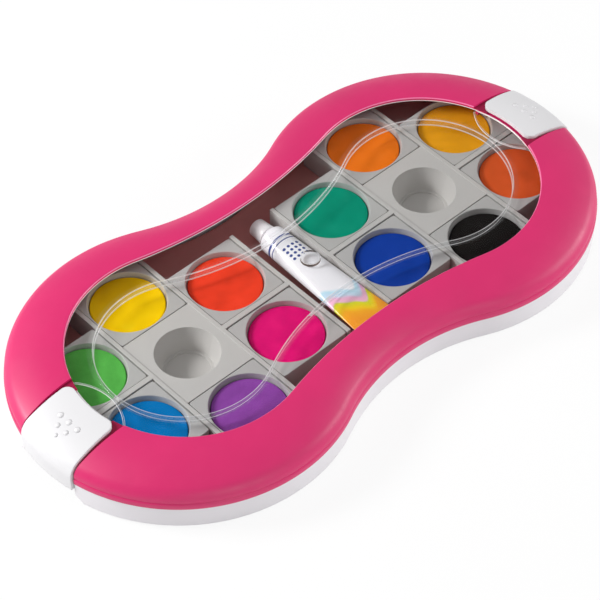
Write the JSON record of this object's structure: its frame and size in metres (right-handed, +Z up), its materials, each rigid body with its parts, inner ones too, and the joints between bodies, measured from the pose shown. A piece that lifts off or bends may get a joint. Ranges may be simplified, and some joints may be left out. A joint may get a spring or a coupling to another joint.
{
  "type": "gouache paint set box",
  "caption": "Waisted paint box with a clear mixing palette in a lift-off lid, swing latches, lift-out trays of square pans round dipping cups, and a paint tube.",
  "frame": {"origin": "on the table under the middle of the box", "axes": "+X along the box towards the tray with the dark blue paint, +Y across the waist towards the tube's cap, +Z up"},
  "size_m": [0.273, 0.139, 0.0255],
  "materials": {
    "white_shell": "satin white moulded plastic",
    "brown_liner": "matte maroon-brown moulded plastic",
    "pink_shell": "satin magenta-pink moulded plastic",
    "clear_plastic": "clear smooth plastic",
    "white_latch": "glossy white moulded plastic",
    "steel_pin": "drawn steel",
    "grey_tray": "light grey moulded plastic",
    "grey_pan": "light grey moulded plastic",
    "tube_skin": "glossy laminate with a soft printed pattern",
    "white_cap": "glossy white moulded plastic",
    "paint_yellow": "matte dry gouache",
    "paint_violet": "matte dry gouache",
    "paint_red": "matte dry gouache",
    "paint_magenta": "matte dry gouache",
    "paint_light_green": "matte dry gouache",
    "paint_sky_blue": "matte dry gouache",
    "paint_orange": "matte dry gouache",
    "paint_black": "matte dry gouache",
    "paint_ochre": "matte dry gouache",
    "paint_sienna": "matte dry gouache",
    "paint_turquoise": "matte dry gouache",
    "paint_ultramarine": "matte dry gouache"
  },
  "bodies": {
    "case": {"case_base": "white_shell", "case_liner": "brown_liner", "left_hinge_pin": "steel_pin", "right_hinge_pin": "steel_pin"},
    "lid": {"lid_ring": "pink_shell", "clear_palette": "clear_plastic"},
    "left_latch": {"left_latch": "white_latch"},
    "right_latch": {"right_latch": "white_latch"},
    "left_tray": {"left_tray": "grey_tray", "left_pan_yellow": "grey_pan", "left_pan_violet": "grey_pan", "left_pan_red": "grey_pan", "left_pan_magenta": "grey_pan", "left_pan_light_green": "grey_pan", "left_pan_sky_blue": "grey_pan", "left_paint_yellow": "paint_yellow", "left_paint_violet": "paint_violet", "left_paint_red": "paint_red", "left_paint_magenta": "paint_magenta", "left_paint_light_green": "paint_light_green", "left_paint_sky_blue": "paint_sky_blue"},
    "right_tray": {"right_tray": "grey_tray", "right_pan_orange": "grey_pan", "right_pan_black": "grey_pan", "right_pan_ochre": "grey_pan", "right_pan_sienna": "grey_pan", "right_pan_turquoise": "grey_pan", "right_pan_ultramarine": "grey_pan", "right_paint_orange": "paint_orange", "right_paint_black": "paint_black", "right_paint_ochre": "paint_ochre", "right_paint_sienna": "paint_sienna", "right_paint_turquoise": "paint_turquoise", "right_paint_ultramarine": "paint_ultramarine"},
    "tube": {"paint_tube": "tube_skin"},
    "cap": {"tube_cap": "white_cap"}
  },
  "joints": [
    {"name": "lid_lift", "type": "slide", "parent": "case", "child": "lid", "axis": [0, 0, 1], "range_m": [0, 0.03]},
    {"name": "left_latch_swing", "type": "hinge", "parent": "case", "child": "left_latch", "pos_m": [-0.13176, 0, 0.0086], "axis": [0, -1, 0], "range_deg": [0, 110]},
    {"name": "right_latch_swing", "type": "hinge", "parent": "case", "child": "right_latch", "pos_m": [0.13176, 0, 0.0086], "axis": [0, 1, 0], "range_deg": [0, 110]},
    {"name": "left_tray_lift", "type": "slide", "parent": "case", "child": "left_tray", "axis": [0, 0, 1], "range_m": [0, 0.012]},
    {"name": "right_tray_lift", "type": "slide", "parent": "case", "child": "right_tray", "axis": [0, 0, 1], "range_m": [0, 0.012]},
    {"name": "tube_lift", "type": "slide", "parent": "case", "child": "tube", "axis": [0, 0, 1], "range_m": [0, 0.018]},
    {"name": "cap_turn", "type": "hinge", "parent": "tube", "child": "cap", "pos_m": [0.003, 0.0255, 0.01316], "axis": [0.0452, 0.996, -0.0767], "range_deg": [0, 360]}
  ],
  "couplings": [
    {"joint": "left_latch_swing", "follows": "lid_lift", "rad_per_m": 63.9},
    {"joint": "right_latch_swing", "follows": "lid_lift", "rad_per_m": 63.9},
    {"joint": "left_tray_lift", "follows": "lid_lift", "ratio": 0.4},
    {"joint": "right_tray_lift", "follows": "lid_lift", "ratio": 0.4},
    {"joint": "tube_lift", "follows": "lid_lift", "ratio": 0.6}
  ]
}
